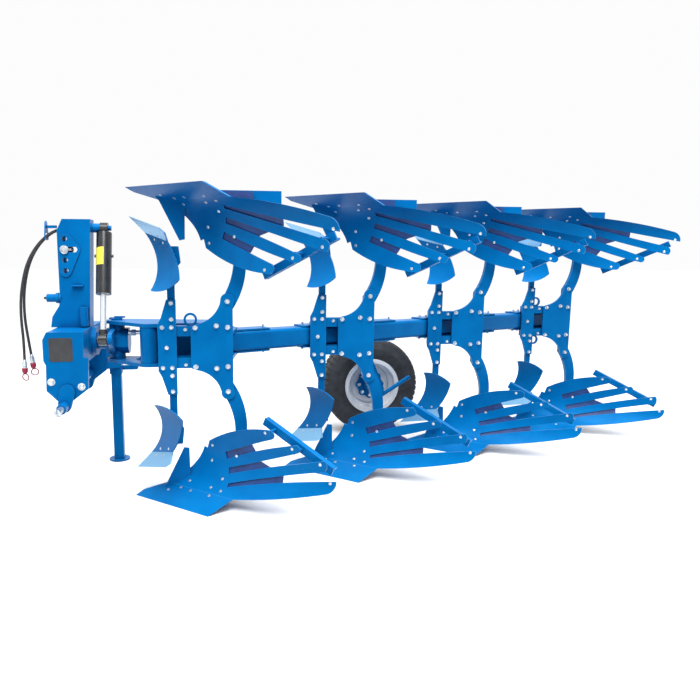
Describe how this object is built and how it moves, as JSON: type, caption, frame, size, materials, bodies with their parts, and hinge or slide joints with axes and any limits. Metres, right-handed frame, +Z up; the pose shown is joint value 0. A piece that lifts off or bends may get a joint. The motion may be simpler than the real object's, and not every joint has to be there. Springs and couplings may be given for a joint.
{
  "type": "mounted reversible moldboard plough",
  "caption": "Mounted reversible plough with slatted moldboards and skimmers on a turnover beam, headstock, support wheel and parking stand.",
  "frame": {"origin": "centre of the third top-link hole, on the middle plane of the headstock", "axes": "+X rearwards along the turnover axis, +Y to the plough's right, +Z up"},
  "size_m": [4.5142, 2.0752, 1.752],
  "materials": {
    "blue_paint": "semi-gloss",
    "bare_steel": "satin",
    "black_paint": "semi-gloss",
    "rod_chrome": "polished",
    "zinc_steel": "satin",
    "hose_rubber": "matt",
    "coupler_red": "gloss",
    "rim_paint": "semi-gloss",
    "tyre": "matt"
  },
  "bodies": {
    "headstock": {"mast_left": "blue_paint", "mast_right": "blue_paint", "mast_back": "blue_paint", "top_link_pin": "zinc_steel", "cross_box": "blue_paint", "side_plate_left": "blue_paint", "side_plate_right": "blue_paint", "lower_link_shaft": "blue_paint", "cylinder_barrel": "black_paint", "stand_holder": "blue_paint", "hose_bracket": "blue_paint", "port_block": "zinc_steel", "near_hose": "hose_rubber", "far_hose": "hose_rubber", "near_coupler": "coupler_red", "far_coupler": "coupler_red"},
    "rod": {"cylinder_rod": "rod_chrome", "rod_eye": "zinc_steel"},
    "plough_frame": {"body_plate_1": "blue_paint", "shanks_1": "blue_paint", "frogs_1": "blue_paint", "moldboards_1": "blue_paint", "shares_1": "blue_paint", "body_plate_2": "blue_paint", "shanks_2": "blue_paint", "frogs_2": "blue_paint", "moldboards_2": "blue_paint", "shares_2": "blue_paint", "body_plate_3": "blue_paint", "shanks_3": "blue_paint", "frogs_3": "blue_paint", "moldboards_3": "blue_paint", "shares_3": "blue_paint", "body_plate_4": "blue_paint", "shanks_4": "blue_paint", "frogs_4": "blue_paint", "moldboards_4": "blue_paint", "shares_4": "blue_paint", "landsides": "blue_paint", "tie_bars": "blue_paint", "skimmer_plates": "blue_paint", "skimmer_shanks": "blue_paint", "skimmer_blades": "blue_paint", "skimmer_shares": "blue_paint", "beam": "blue_paint", "body_consoles": "blue_paint", "lifting_rings": "blue_paint", "front_frame": "blue_paint", "turnover_housing": "blue_paint", "yoke_pins": "zinc_steel", "turnbuckle": "zinc_steel", "wheel_bracket": "blue_paint"},
    "stand": {"stand_leg": "blue_paint"},
    "wheel_arm": {"wheel_arm": "blue_paint"},
    "wheel": {"rim": "rim_paint", "tyre": "tyre", "hub": "blue_paint"}
  },
  "joints": [
    {"name": "turnover", "type": "hinge", "parent": "headstock", "child": "plough_frame", "pos_m": [0.26, 0, -0.48], "axis": [-1, 0, 0], "range_deg": [0, 180]},
    {"name": "rod_slide", "type": "slide", "parent": "headstock", "child": "rod", "axis": [0, 0.2858, 0.9583], "range_m": [0, 0.19]},
    {"name": "stand_slide", "type": "slide", "parent": "headstock", "child": "stand", "axis": [0, 0, 1], "range_m": [0, 0.45]},
    {"name": "wheel_swing", "type": "hinge", "parent": "plough_frame", "child": "wheel_arm", "pos_m": [1.857, 0.696, -0.48], "axis": [0, -1, 0], "range_deg": [0, 134]},
    {"name": "wheel_spin", "type": "hinge", "parent": "wheel_arm", "child": "wheel", "pos_m": [2.069, 0.965, -0.98], "axis": [0, 1, 0], "continuous": true}
  ]
}
